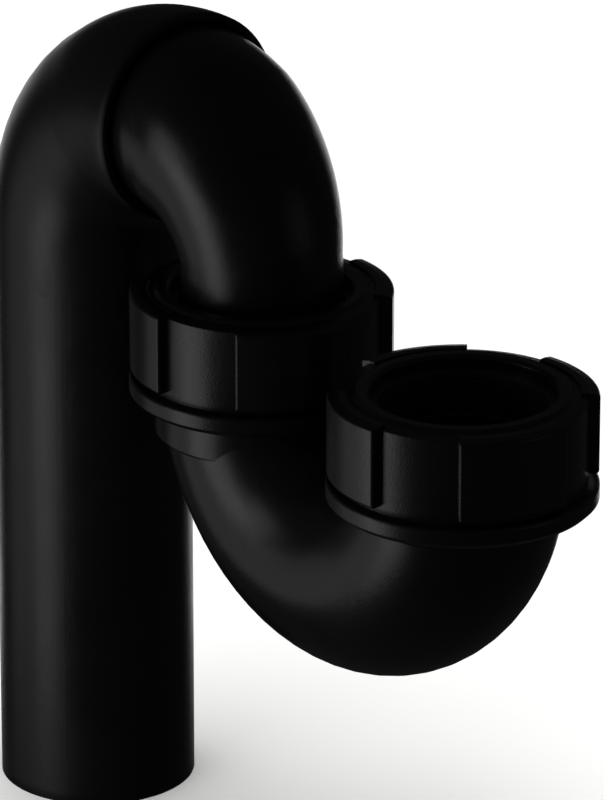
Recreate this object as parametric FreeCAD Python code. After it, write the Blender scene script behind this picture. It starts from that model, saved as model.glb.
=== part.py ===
import FreeCAD, Part
import math
import os

# Siphon trap in black pipe plastic. Millimetres, +Z up, +X from the outlet pipe towards the inlet.
# The origin is the centre of the outlet pipe's lower end.

os.makedirs("parts", exist_ok=True)

# Outlet pipe and the bend at its top
outlet_radius = 25.0
pipe_wall = 3.0
outlet_length = 152.0
arch_radius = 37.4
mouth_straight = 3.5
mouth_flare = 1.5
flare_start_deg = 60.0
mouth_wall = 2.8
mouth_bevel = 1.3
plug_depth = 10.0

# Elbow that reduces from the mouth to the middle leg
elbow_bend_inset = 1.5
elbow_radius = 30.5
taper_start_deg = 25.0
taper_end_deg = 85.0
elbow_reduction = 5.0
spigot_above_socket = 11.1
spigot_in_guide = 13.0
spigot_bevel = 1.2

# U-bend of the outlet's pipe, its legs and the plain necks below its threads
trap_bend_radius = 39.0
outlet_leg_rise = 16.3
inlet_leg_rise = 13.0
neck_step = 1.4
neck_foot_drop = 2.5
neck_foot_inset = 3.2
outlet_neck_length = 12.0
inlet_neck_length = 4.7

# Screwed sockets on the U-bend
thread_length = 18.8
thread_depth = 0.75
socket_wall = 2.3
socket_bevel = 0.8
chamber_straight = 5.0
seat_width = 3.5
seat_drop = 3.5
guide_length = 16.0

# Seals and thrust washers
seal_proud = 1.0
seal_foot = 1.0
seal_lip_bevel = 0.8
washer_thickness = 1.8
washer_inset = 0.8
washer_bevel = 0.3

# Union nuts
nut_skirt = 24.4
nut_lip = 3.4
nut_wall = 3.05
nut_edge_bevel = 0.8
nut_lead_in = 2.2
crown_inset = 3.5
crown_drop = 1.4
flange_height = 2.7
flange_bevel = 1.3
flange_round = 0.9
flange_rim = 5.0
flange_slope = 0.4
lug_count = 4
lug_width_deg = 51.0
lug_height = 2.5
lug_top_drop = 0.5
lug_foot_gap = 1.6
lug_bevel_drop = 0.5
lug_root = 2.0
lug_edge_round = 0.7
outlet_lug_turn_deg = -23.8
inlet_lug_turn_deg = -15.5

# Clearances
weld_gap = 0.05
spigot_gap = 0.3
washer_gap = 0.5
nut_hole_gap = 2.4
seal_side_gap = 0.2
thread_gap = 0.1

# Pipework places worked out from the values above
pipe_bore = outlet_radius - pipe_wall
trap_radius = outlet_radius
trap_bore = trap_radius - pipe_wall
mouth_radius = outlet_radius + mouth_flare
plug_radius = mouth_radius - mouth_wall
spigot_radius = outlet_radius - elbow_reduction
crown_z = outlet_length + arch_radius
mouth_x = arch_radius + mouth_straight
elbow_start_x = mouth_x - elbow_bend_inset
elbow_end_z = crown_z - elbow_radius
leg_x = elbow_start_x + elbow_radius
socket_top_z = elbow_end_z - spigot_above_socket
trap_centre_z = socket_top_z - outlet_leg_rise
inlet_x = leg_x + 2 * trap_bend_radius
inlet_top_z = trap_centre_z + inlet_leg_rise

# Socket, seal and nut sizes worked out from the spigot outwards
guide_radius = spigot_radius + spigot_gap
chamber_radius = guide_radius + seat_width
thread_root_radius = chamber_radius + socket_wall
thread_crest_radius = thread_root_radius + thread_depth
nut_thread_radius = thread_crest_radius + thread_gap
nut_body_radius = nut_thread_radius + nut_wall
nut_hole_radius = spigot_radius + nut_hole_gap
crown_radius = nut_body_radius - crown_inset
flange_radius = nut_body_radius + flange_height
lug_radius = nut_body_radius + lug_height
neck_radius = trap_radius + neck_step
washer_hole_radius = spigot_radius + washer_gap
washer_outer_radius = thread_root_radius - washer_inset
seat_depth = chamber_straight + seat_drop
guide_depth = seat_depth + guide_length
spigot_end_z = socket_top_z - seat_depth - spigot_in_guide
washer_rise = seal_proud + washer_thickness
nut_height = nut_skirt + nut_lip
nut_drop = nut_skirt - washer_rise

UP = FreeCAD.Vector(0, 0, 1)
ALONG = FreeCAD.Vector(1, 0, 0)
ACROSS = FreeCAD.Vector(0, 1, 0)


def point(x, z):
    return FreeCAD.Vector(x, 0, z)


def moved(shape, x, z):
    shape.translate(point(x, z))
    return shape


def joined(shapes):
    return shapes[0].fuse(shapes[1:]).removeSplitter()


def rod(radius, start, direction, length):
    return Part.makeCylinder(radius, length, start, direction)


def turned(outline, sweep_deg=360.0):
    """Turns a closed outline of (radius, height) points about the Z axis."""
    corners = [point(radius, height) for radius, height in outline]
    face = Part.Face(Part.makePolygon(corners + corners[:1]))
    return face.revolve(point(0, 0), UP, sweep_deg)


def rounded(shape, rounding, radius, height):
    """Rounds the circular edge of a turned shape that has the given radius and height."""
    edges = []
    for edge in shape.Edges:
        if edge.Curve.TypeId != "Part::GeomCircle":
            continue
        if math.isclose(edge.Curve.Radius, radius) and math.isclose(edge.Curve.Center.z, height):
            edges.append(edge)
    return shape.makeFillet(rounding, edges)


def arc_point(centre, radius, angle_deg):
    """Point of an arch, at an angle counted from its -X side over the top."""
    angle = math.radians(angle_deg)
    return centre + point(-radius * math.cos(angle), radius * math.sin(angle))


def arc_circle(radius, centre, bend_radius, angle_deg):
    """Round section of an arch, square to its path."""
    angle = math.radians(angle_deg)
    direction = point(math.sin(angle), math.cos(angle))
    return Part.Wire(Part.makeCircle(radius, arc_point(centre, bend_radius, angle_deg), direction))


def bent_rod(radius, centre, bend_radius, start_deg, end_deg):
    """Round bar of one thickness along part of an arch."""
    section = Part.Face(arc_circle(radius, centre, bend_radius, start_deg))
    return section.revolve(centre, ACROSS, end_deg - start_deg)


def tapered_bent_rod(start_radius, end_radius, centre, bend_radius, start_deg, end_deg):
    """Round bar along part of an arch, with a thickness that changes evenly on the way."""
    stations = [start_deg, (start_deg + end_deg) / 2, end_deg]
    path = Part.Arc(*[arc_point(centre, bend_radius, angle) for angle in stations])
    sweep = Part.BRepOffsetAPI.MakePipeShell(Part.Wire(path.toShape()))
    sweep.add(arc_circle(start_radius, centre, bend_radius, start_deg))
    sweep.add(arc_circle(end_radius, centre, bend_radius, end_deg))
    sweep.build()
    sweep.makeSolid()
    return sweep.shape()


def outlet_bend():
    """Straight pipe and arch in one piece, with a flared mouth for the elbow's plug."""
    centre = point(arch_radius, outlet_length)
    arch_end = point(arch_radius, crown_z)
    skin = joined([
        rod(outlet_radius, point(0, 0), UP, outlet_length),
        bent_rod(outlet_radius, centre, arch_radius, 0, flare_start_deg),
        tapered_bent_rod(outlet_radius, mouth_radius, centre, arch_radius, flare_start_deg, 90),
        rod(mouth_radius, arch_end, ALONG, mouth_straight),
    ])
    bore = joined([
        rod(pipe_bore, point(0, 0), UP, outlet_length),
        bent_rod(pipe_bore, centre, arch_radius, 0, 90),
        rod(pipe_bore, arch_end, ALONG, mouth_straight),
    ])
    seat_radius = plug_radius + weld_gap
    seat = rod(seat_radius, point(mouth_x - plug_depth, crown_z), ALONG, plug_depth)
    bevel_start = point(mouth_x - mouth_bevel, crown_z)
    bevel = Part.makeCone(seat_radius, seat_radius + mouth_bevel, mouth_bevel, bevel_start, ALONG)
    return skin.cut(bore).cut(seat).cut(bevel)


def elbow_path(plug, spigot):
    """Solid bar along the elbow's path, from the plug's end to the spigot's end."""
    centre = point(elbow_start_x, elbow_end_z)
    plug_start = mouth_x - plug_depth + weld_gap
    taper_start = 90 + taper_start_deg
    taper_end = 90 + taper_end_deg
    return joined([
        rod(plug, point(plug_start, crown_z), ALONG, elbow_start_x - plug_start),
        bent_rod(plug, centre, elbow_radius, 90, taper_start),
        tapered_bent_rod(plug, spigot, centre, elbow_radius, taper_start, taper_end),
        bent_rod(spigot, centre, elbow_radius, taper_end, 180),
        rod(spigot, point(leg_x, spigot_end_z), UP, elbow_end_z - spigot_end_z),
    ])


def connecting_elbow():
    """Reducing elbow: a plug in the outlet bend's mouth, a tapering bend and a straight spigot."""
    skin = elbow_path(plug_radius, spigot_radius)
    bore = elbow_path(plug_radius - pipe_wall, spigot_radius - pipe_wall)
    trim = turned([
        (spigot_radius - spigot_bevel, 0),
        (spigot_radius + spigot_bevel, 0),
        (spigot_radius + spigot_bevel, 4 * spigot_bevel),
    ])
    return skin.cut(bore).cut(moved(trim, leg_x, spigot_end_z))


def socket_skin(neck_length):
    """Outside of a socket with its top at zero: the thread's core and a plain neck below it."""
    neck_end = thread_length + neck_length
    neck_foot = neck_end + neck_foot_drop
    return turned([
        (0, -neck_foot),
        (neck_radius - neck_foot_inset, -neck_foot),
        (neck_radius, -neck_end),
        (neck_radius, -thread_length),
        (thread_root_radius, -thread_length),
        (thread_root_radius, -socket_bevel),
        (thread_root_radius - socket_bevel, 0),
        (0, 0),
    ])


def socket_bore():
    """Inside of a socket with its top at zero: seal chamber, tapered seat and pipe guide."""
    return turned([
        (0, -guide_depth),
        (guide_radius, -guide_depth),
        (guide_radius, -seat_depth),
        (chamber_radius, -chamber_straight),
        (chamber_radius, 0),
        (0, 0),
    ])


def trap_bend():
    """U-bend with a screwed socket on each leg."""
    centre = point(leg_x + trap_bend_radius, trap_centre_z)
    legs = (
        (leg_x, socket_top_z, outlet_neck_length),
        (inlet_x, inlet_top_z, inlet_neck_length),
    )
    skin = [bent_rod(trap_radius, centre, trap_bend_radius, 0, -180)]
    bore = bent_rod(trap_bore, centre, trap_bend_radius, 0, -180)
    for x, top, neck_length in legs:
        skin.append(moved(socket_skin(neck_length), x, top))
        bore = bore.cut(rod(trap_radius, point(x, top - guide_depth), UP, guide_depth))
    solid = joined(skin).cut(bore)
    for x, top, neck_length in legs:
        solid = solid.cut(moved(socket_bore(), x, top))
    return solid


def seal():
    """Rubber ring with its socket's top at zero: it stands proud and wedges into the tapered seat."""
    outer = chamber_radius - seal_side_gap
    return turned([
        (guide_radius, seal_foot - seat_depth),
        (guide_radius + seal_foot, seal_foot - seat_depth),
        (outer, -chamber_straight - seal_side_gap),
        (outer, seal_proud),
        (guide_radius + seal_lip_bevel, seal_proud),
        (guide_radius, seal_proud - seal_lip_bevel),
    ])


def thrust_washer():
    """Flat ring between seal and nut, with its socket's top at zero."""
    return turned([
        (washer_hole_radius, seal_proud),
        (washer_outer_radius, seal_proud),
        (washer_outer_radius, washer_rise - washer_bevel),
        (washer_outer_radius - washer_bevel, washer_rise),
        (washer_hole_radius, washer_rise),
    ])


def grip_lug():
    """One raised grip of a nut, centred on +X, with its outer edges rounded."""
    inner = nut_body_radius - lug_root
    foot = flange_rim + flange_slope + lug_foot_gap
    shoulder = nut_height - lug_top_drop
    lug = turned([
        (inner, foot),
        (lug_radius, foot),
        (lug_radius, shoulder - lug_bevel_drop),
        (nut_body_radius, shoulder),
        (inner, shoulder),
    ], lug_width_deg)
    edges = []
    for edge in lug.Edges:
        ends = [math.hypot(vertex.X, vertex.Y) for vertex in edge.Vertexes]
        if min(ends) > nut_body_radius + lug_height / 2:
            edges.append(edge)
    lug = lug.makeFillet(lug_edge_round, edges)
    lug.rotate(point(0, 0), UP, -lug_width_deg / 2)
    return lug


def union_nut(turn_deg):
    """Union nut with its lower end at zero: a skirt with grips, a flanged foot and an inward lip."""
    shell = turned([
        (nut_thread_radius + nut_lead_in, 0),
        (flange_radius - flange_bevel, 0),
        (flange_radius, flange_bevel),
        (flange_radius, flange_rim),
        (nut_body_radius, flange_rim + flange_slope),
        (nut_body_radius, nut_height - crown_drop),
        (crown_radius, nut_height - nut_edge_bevel),
        (crown_radius - nut_edge_bevel, nut_height),
        (nut_hole_radius + nut_edge_bevel, nut_height),
        (nut_hole_radius, nut_height - nut_edge_bevel),
        (nut_hole_radius, nut_height - nut_lip),
        (nut_thread_radius, nut_height - nut_lip),
        (nut_thread_radius, nut_lead_in),
    ])
    pieces = [rounded(shell, flange_round, flange_radius, flange_rim)]
    for index in range(lug_count):
        lug = grip_lug()
        lug.rotate(point(0, 0), UP, turn_deg + index * 360 / lug_count)
        pieces.append(lug)
    return joined(pieces)


nodes = {
    "outlet_bend": outlet_bend(),
    "connecting_elbow": connecting_elbow(),
    "trap_bend": trap_bend(),
    "outlet_seal": moved(seal(), leg_x, socket_top_z),
    "inlet_seal": moved(seal(), inlet_x, inlet_top_z),
    "outlet_thrust_washer": moved(thrust_washer(), leg_x, socket_top_z),
    "inlet_thrust_washer": moved(thrust_washer(), inlet_x, inlet_top_z),
    "outlet_union_nut": moved(union_nut(outlet_lug_turn_deg), leg_x, socket_top_z - nut_drop),
    "inlet_union_nut": moved(union_nut(inlet_lug_turn_deg), inlet_x, inlet_top_z - nut_drop),
}

for name, shape in nodes.items():
    shape.exportStep("parts/" + name + ".step")
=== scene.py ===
import math

import bmesh
import bpy
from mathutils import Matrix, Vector


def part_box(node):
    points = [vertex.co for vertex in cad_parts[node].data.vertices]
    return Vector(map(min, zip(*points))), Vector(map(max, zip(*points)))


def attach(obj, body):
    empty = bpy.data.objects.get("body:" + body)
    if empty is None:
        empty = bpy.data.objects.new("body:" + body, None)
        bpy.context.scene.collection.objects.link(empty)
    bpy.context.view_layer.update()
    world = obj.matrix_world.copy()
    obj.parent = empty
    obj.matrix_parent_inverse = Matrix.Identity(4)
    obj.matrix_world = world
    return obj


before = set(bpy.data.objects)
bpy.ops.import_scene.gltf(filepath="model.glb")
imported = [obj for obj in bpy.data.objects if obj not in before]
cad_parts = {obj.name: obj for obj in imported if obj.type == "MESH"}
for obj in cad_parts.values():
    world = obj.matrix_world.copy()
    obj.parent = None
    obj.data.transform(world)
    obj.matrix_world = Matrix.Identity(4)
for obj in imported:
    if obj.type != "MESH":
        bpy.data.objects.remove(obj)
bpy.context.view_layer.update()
scene = bpy.context.scene

# Camera at the photograph's viewing angle: degrees, metres, and millimetres for lens and sensor
AZIMUTH = 52.18
ELEVATION = 22.17
CENTRE = Vector((0.075, 0, 0.108))
CAMERA_DISTANCE = 1.726
AIM_RIGHT = 0.00676
AIM_UP = 0.0160
LENS = 314.9
SENSOR_WIDTH = 36
VIEW_END = 100

# Softboxes: name, turn from the camera, elevation, distance, width, height, radiance
OBJECT_LIGHTS = (
    ("key_softbox", -66, -13, 0.38, 0.175, 0.28, 1.08),
    ("left_softbox", -94, -14, 0.38, 0.28, 0.24, 0.30),
    ("shoulder_softbox", -72, 15, 0.38, 0.12, 0.15, 0.90),
    ("right_fill", 60, 8, 0.9, 0.45, 0.45, 0.08),
    ("back_right_fill", 166, -13, 0.9, 0.40, 0.42, 1.5),
    ("back_left_fill", -162, -13, 0.9, 0.40, 0.42, 1.5),
)
TABLE_LIGHT = ("table_light", 0, 89, 3.0, 4.0, 4.0, 3.8)

# Table, and a room that looks pale but sheds little light
TABLE_REACH = 20
TABLE_COLOUR = (0.85, 0.85, 0.84, 1)
TABLE_ROUGHNESS = 0.9
ROOM_COLOUR = (1, 1, 1, 1)
ROOM_LIGHT = 0.019
ROOM_SEEN = 0.85

# Colours of plastic and rubber, darkest and lightest
BLACK = (0.0085, 0.0085, 0.0092)
WORN_BLACK = (0.0180, 0.0180, 0.0188)
WORN_NUT = (0.0200, 0.0200, 0.0206)
WASHER_DARK = (0.035, 0.035, 0.036)
WASHER_LIGHT = (0.060, 0.060, 0.060)
RUBBER_DARK = (0.010, 0.010, 0.010)
RUBBER_BLOOM = (0.022, 0.021, 0.020)

# Radii over which shading is softened: at edges, at the mouth's flare and at the elbow's taper
EDGE_BLEND = 0.0005
FLARE_BLEND = 0.004
TAPER_BLEND = 0.007

# Marks of the making: the mould's parting line, and lines drawn along the straight pipe
PARTING_WIDTH = 0.0004
DRAWN_TOP = 0.150
DRAWN_FADE = 0.01

# Shares of clouding and scuffs in colour and roughness
CLOUD_TONE = 0.72
SCUFF_TONE = 0.28
SCUFF_ROUGHNESS = 0.07

# Screw threads of the sockets and union nuts, in metres
PITCH = 0.002309
RIDGE_FOOT = 0.00155
RIDGE_CREST = 0.00035
STATIONS_PER_TURN = 64
RUN_OUT_STATIONS = STATIONS_PER_TURN / 6
LEAST_RIDGE = 0.02
SEAL_PROUD = 0.001

# Threads: lower and upper depth below the socket's top, radii of foot and crest, phase in turns
SOCKET_THREAD = ((0.0179, 0.0017), (0.02605, 0.02683), 0.0)
NUT_THREAD = ((0.0170, 0.0012), (0.02700, 0.02620), 0.5)


def direction(azimuth, elevation):
    """Unit vector towards a point of the sky: azimuth 0 is -Y, and 90 is +X."""
    a = math.radians(azimuth)
    e = math.radians(elevation)
    return Vector((math.sin(a) * math.cos(e), -math.cos(a) * math.cos(e), math.sin(e)))


def link(name, data):
    """Puts a new object into the scene."""
    obj = bpy.data.objects.new(name, data)
    scene.collection.objects.link(obj)
    return obj


def aim(obj, target):
    """Turns a camera or light to a point."""
    obj.rotation_mode = "QUATERNION"
    obj.rotation_quaternion = (target - obj.location).to_track_quat("-Z", "Y")


def make_camera():
    back = direction(AZIMUTH, ELEVATION)
    right = direction(AZIMUTH + 90, 0)
    camera = link("camera", bpy.data.cameras.new("camera"))
    camera.data.sensor_width = SENSOR_WIDTH
    camera.data.lens = LENS
    camera.data.clip_end = VIEW_END
    camera.location = CENTRE + back * CAMERA_DISTANCE
    aim(camera, CENTRE + right * AIM_RIGHT + back.cross(right) * AIM_UP)
    scene.camera = camera


def softbox(name, turn, elevation, distance, width, height, radiance):
    """Rectangular studio light, at an angle counted from the camera's azimuth to the right."""
    light = bpy.data.lights.new(name, "AREA")
    light.shape = "RECTANGLE"
    light.size = width
    light.size_y = height
    light.energy = radiance * math.pi * width * height
    obj = link(name, light)
    obj.location = CENTRE + direction(AZIMUTH + turn, elevation) * distance
    aim(obj, CENTRE)
    obj.visible_camera = False
    return obj


def receivers(name, obj, state):
    """Collection that lets a light reach one object alone, or all but that one."""
    made = bpy.data.collections.new(name)
    made.objects.link(obj)
    made.collection_objects[0].light_linking.link_state = state
    return made


def make_table():
    """Pale table that lets light from below through."""
    corners = [
        (-TABLE_REACH, -TABLE_REACH, 0),
        (TABLE_REACH, -TABLE_REACH, 0),
        (TABLE_REACH, TABLE_REACH, 0),
        (-TABLE_REACH, TABLE_REACH, 0),
    ]
    mesh = bpy.data.meshes.new("table")
    mesh.from_pydata(corners, [], [(0, 1, 2, 3)])
    table = link("table", mesh)
    table.visible_diffuse = False
    table.visible_glossy = False
    table.visible_shadow = False
    material = bpy.data.materials.new("table_white")
    material.use_nodes = True
    shader = material.node_tree.nodes["Principled BSDF"]
    shader.inputs["Base Color"].default_value = TABLE_COLOUR
    shader.inputs["Roughness"].default_value = TABLE_ROUGHNESS
    mesh.materials.append(material)
    return table


def make_room():
    """Room with one strength for its light and another for what the camera sees of it."""
    world = bpy.data.worlds.new("room")
    world.use_nodes = True
    tree = world.node_tree
    seen = tree.nodes.new("ShaderNodeLightPath")
    strength = tree.nodes.new("ShaderNodeMapRange")
    strength.inputs["To Min"].default_value = ROOM_LIGHT
    strength.inputs["To Max"].default_value = ROOM_SEEN
    tree.links.new(seen.outputs["Is Camera Ray"], strength.inputs["Value"])
    background = tree.nodes["Background"]
    background.inputs["Color"].default_value = ROOM_COLOUR
    tree.links.new(strength.outputs["Result"], background.inputs["Strength"])
    scene.world = world


def make_studio():
    """Low soft light on the object, from the left and behind, and light from above on the table."""
    table = make_table()
    only_table = receivers("only_table", table, "INCLUDE")
    all_but_table = receivers("all_but_table", table, "EXCLUDE")
    for box in OBJECT_LIGHTS:
        softbox(*box).light_linking.receiver_collection = all_but_table
    softbox(*TABLE_LIGHT).light_linking.receiver_collection = only_table
    make_room()
    scene.view_settings.view_transform = "Standard"


class Surface:
    """Principled material whose colour, roughness and bump come from procedural textures."""

    def __init__(self, name):
        self.material = bpy.data.materials.new(name)
        self.material.use_nodes = True
        self.tree = self.material.node_tree
        self.shader = self.tree.nodes["Principled BSDF"]
        self.place = self.node("ShaderNodeTexCoord").outputs["Object"]
        self.normal = None

    def node(self, kind, **settings):
        made = self.tree.nodes.new(kind)
        for key, value in settings.items():
            setattr(made, key, value)
        return made

    def join(self, output, socket):
        self.tree.links.new(output, socket)

    def along(self, axis):
        """Coordinate along one axis."""
        split = self.node("ShaderNodeSeparateXYZ")
        self.join(self.place, split.inputs["Vector"])
        return split.outputs[axis]

    def noise(self, scale, detail, stretch=(1, 1, 1), distortion=0.0):
        mapping = self.node("ShaderNodeMapping")
        mapping.inputs["Scale"].default_value = stretch
        self.join(self.place, mapping.inputs["Vector"])
        noise = self.node("ShaderNodeTexNoise")
        noise.inputs["Scale"].default_value = scale
        noise.inputs["Detail"].default_value = detail
        noise.inputs["Distortion"].default_value = distortion
        self.join(mapping.outputs["Vector"], noise.inputs["Vector"])
        return noise.outputs["Fac"]

    def remap(self, value, span, result):
        """Smooth step from one pair of numbers to another."""
        made = self.node("ShaderNodeMapRange", interpolation_type="SMOOTHSTEP")
        for key, number in zip(("From Min", "From Max", "To Min", "To Max"), (*span, *result)):
            made.inputs[key].default_value = number
        self.join(value, made.inputs["Value"])
        return made.outputs["Result"]

    def combine(self, operation, *values):
        made = self.node("ShaderNodeMath", operation=operation)
        for socket, value in zip(made.inputs, values):
            if isinstance(value, (int, float)):
                socket.default_value = value
            else:
                self.join(value, socket)
        return made.outputs["Value"]

    def colour(self, share, dark, light):
        ramp = self.node("ShaderNodeValToRGB")
        ramp.color_ramp.elements[0].color = (*dark, 1)
        ramp.color_ramp.elements[1].color = (*light, 1)
        self.join(share, ramp.inputs["Fac"])
        self.join(ramp.outputs["Color"], self.shader.inputs["Base Color"])

    def rough(self, value):
        self.join(value, self.shader.inputs["Roughness"])

    def soften(self, radius):
        """Rounds off edges and kinks in the shading, before any bump."""
        made = self.node("ShaderNodeBevel", samples=4)
        made.inputs["Radius"].default_value = radius
        self.normal = made.outputs["Normal"]

    def bump(self, height, depth, strength):
        """Adds a layer of bump to those made before."""
        made = self.node("ShaderNodeBump")
        made.inputs["Distance"].default_value = depth
        made.inputs["Strength"].default_value = strength
        self.join(height, made.inputs["Height"])
        if self.normal is not None:
            self.join(self.normal, made.inputs["Normal"])
        self.normal = made.outputs["Normal"]
        self.join(self.normal, self.shader.inputs["Normal"])


def moulded(name, dark, light, roughness, grain, blend=EDGE_BLEND, parting=False, drawn=False):
    """Thermoplastic: uneven satin, grain, scuffs, softened edges, and the mould's or die's lines."""
    made = Surface(name)
    cloud = made.noise(scale=26, detail=4)
    streaks = made.noise(scale=150, detail=6, stretch=(1, 1, 0.45), distortion=1.4)
    scuff = made.remap(streaks, (0.60, 0.74), (0, 1))
    clouded = made.remap(cloud, (0.30, 0.72), (0, CLOUD_TONE))
    scuffed = made.combine("MULTIPLY", scuff, SCUFF_TONE)
    made.colour(made.combine("ADD", clouded, scuffed), dark, light)
    satin = made.remap(cloud, (0.3, 0.7), roughness)
    made.rough(made.combine("ADD", satin, made.combine("MULTIPLY", scuff, SCUFF_ROUGHNESS)))
    made.soften(blend)
    made.bump(made.noise(scale=42, detail=2), depth=0.0006, strength=0.18)
    made.bump(made.noise(scale=330, detail=2), depth=0.00012, strength=0.22)
    made.bump(made.noise(scale=1900, detail=2), depth=0.00006, strength=grain)
    if parting:
        off_centre = made.combine("ABSOLUTE", made.along("Y"))
        made.bump(made.remap(off_centre, (0, PARTING_WIDTH), (1, 0)), depth=0.00006, strength=0.35)
    if drawn:
        lines = made.noise(scale=900, detail=2, stretch=(1, 1, 0.004))
        straight = made.remap(made.along("Z"), (DRAWN_TOP - DRAWN_FADE, DRAWN_TOP), (1, 0))
        made.bump(made.combine("MULTIPLY", lines, straight), depth=0.00005, strength=0.45)
    return made.material


def rubber(name):
    """Matt black rubber with a greyish bloom."""
    made = Surface(name)
    bloom = made.noise(scale=70, detail=6, distortion=0.6)
    made.colour(made.remap(bloom, (0.35, 0.75), (0, 1)), RUBBER_DARK, RUBBER_BLOOM)
    made.rough(made.remap(bloom, (0.3, 0.7), (0.62, 0.78)))
    made.bump(made.noise(scale=1400, detail=3), depth=0.00008, strength=0.3)
    return made.material


def dress(node, material):
    """Gives a solid its material."""
    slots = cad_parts[node].data.materials
    slots.clear()
    slots.append(material)


def thread(name, body, slot, material, top, depths, radii, phase):
    """Right-hand helical ridge between two depths below a socket's top, with run-outs."""
    low, high = depths
    foot, crest = radii
    count = int((low - high) / PITCH * STATIONS_PER_TURN)
    made = bmesh.new()
    rings = []
    for index in range(count + 1):
        share = min(1.0, index / RUN_OUT_STATIONS, (count - index) / RUN_OUT_STATIONS)
        height = PITCH * index / STATIONS_PER_TURN - low
        angle = 2 * math.pi * (height / PITCH + phase)
        outward = Vector((math.cos(angle), math.sin(angle), 0))
        peak = foot + (crest - foot) * max(share, LEAST_RIDGE)
        corners = (
            (foot, -RIDGE_FOOT / 2),
            (peak, -RIDGE_CREST / 2),
            (peak, RIDGE_CREST / 2),
            (foot, RIDGE_FOOT / 2),
        )
        rings.append([
            made.verts.new(top + outward * radius + Vector((0, 0, height + offset)))
            for radius, offset in corners
        ])
    for first, second in zip(rings, rings[1:]):
        for k in range(len(first)):
            made.faces.new((first[k], first[k - 1], second[k - 1], second[k]))
    made.faces.new(rings[0])
    made.faces.new(rings[-1][::-1])
    bmesh.ops.recalc_face_normals(made, faces=made.faces)
    mesh = bpy.data.meshes.new(name)
    made.to_mesh(mesh)
    made.free()
    mesh.materials.append(material)
    obj = link(name, mesh)
    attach(obj, body)


make_camera()
make_studio()

# Materials of the solids
pipe_black = moulded(
    "pipe_black", BLACK, WORN_BLACK, (0.33, 0.41), grain=0.30, blend=FLARE_BLEND, drawn=True,
)
elbow_black = moulded(
    "elbow_black", BLACK, WORN_BLACK, (0.24, 0.31), grain=0.35, blend=TAPER_BLEND, parting=True,
)
bend_black = moulded("bend_black", BLACK, WORN_BLACK, (0.27, 0.34), grain=0.35, parting=True)
nut_black = moulded("nut_black", BLACK, WORN_NUT, (0.27, 0.34), grain=0.60)
washer_grey = moulded("washer_grey", WASHER_DARK, WASHER_LIGHT, (0.40, 0.50), grain=0.10)
seal_black = rubber("seal_black")

dress("outlet_bend", pipe_black)
dress("connecting_elbow", elbow_black)
dress("trap_bend", bend_black)

# Each leg's nut, washer, seal and threads, which are placed by the washer on the seal
for side in ("outlet", "inlet"):
    dress(side + "_union_nut", nut_black)
    dress(side + "_thrust_washer", washer_grey)
    dress(side + "_seal", seal_black)
    washer_low, washer_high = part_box(side + "_thrust_washer")
    axis_x = (washer_low.x + washer_high.x) / 2
    socket_top = Vector((axis_x, 0, washer_low.z - SEAL_PROUD))
    thread(side + "_socket_thread", "trap", "pipe_plastic", bend_black, socket_top, *SOCKET_THREAD)
    thread(side + "_nut_thread", side + "_nut", "nut_plastic", nut_black, socket_top, *NUT_THREAD)
